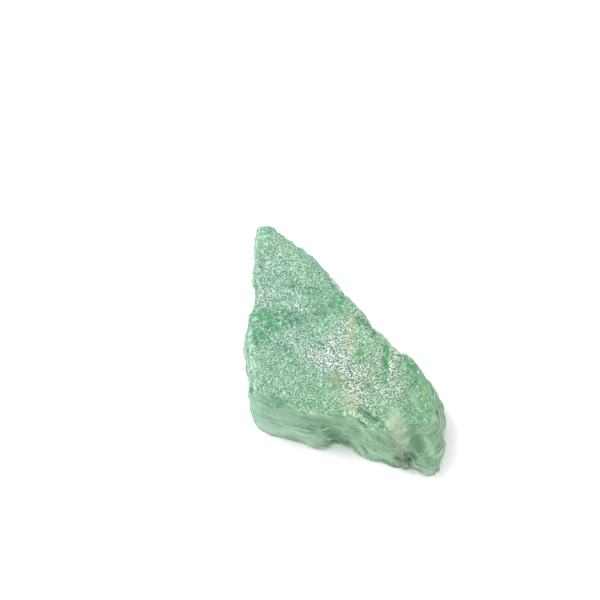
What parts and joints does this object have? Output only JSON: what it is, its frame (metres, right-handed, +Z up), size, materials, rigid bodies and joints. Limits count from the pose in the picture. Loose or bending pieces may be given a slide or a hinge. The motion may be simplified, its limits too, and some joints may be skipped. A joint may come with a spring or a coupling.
{
  "type": "raw green aventurine stone",
  "caption": "Rough broken slab of pale green, mica-flecked quartz with a long, nearly flat top, stepped side walls and a flat underside to rest on.",
  "frame": {"origin": "middle of the stone's bounding box, at the height of the flat underside that it rests on", "axes": "+Y along the slab towards its narrow tip, +X across the slab towards its steep back side, +Z up out of the broad top face"},
  "size_m": [0.0264, 0.049, 0.0101],
  "materials": {
    "green_aventurine": "rough sugary break full of fine green mica flakes that glitter, glassy in a few smooth cleaved patches"
  },
  "bodies": {
    "root": {"raw_aventurine": "green_aventurine"}
  },
  "joints": []
}
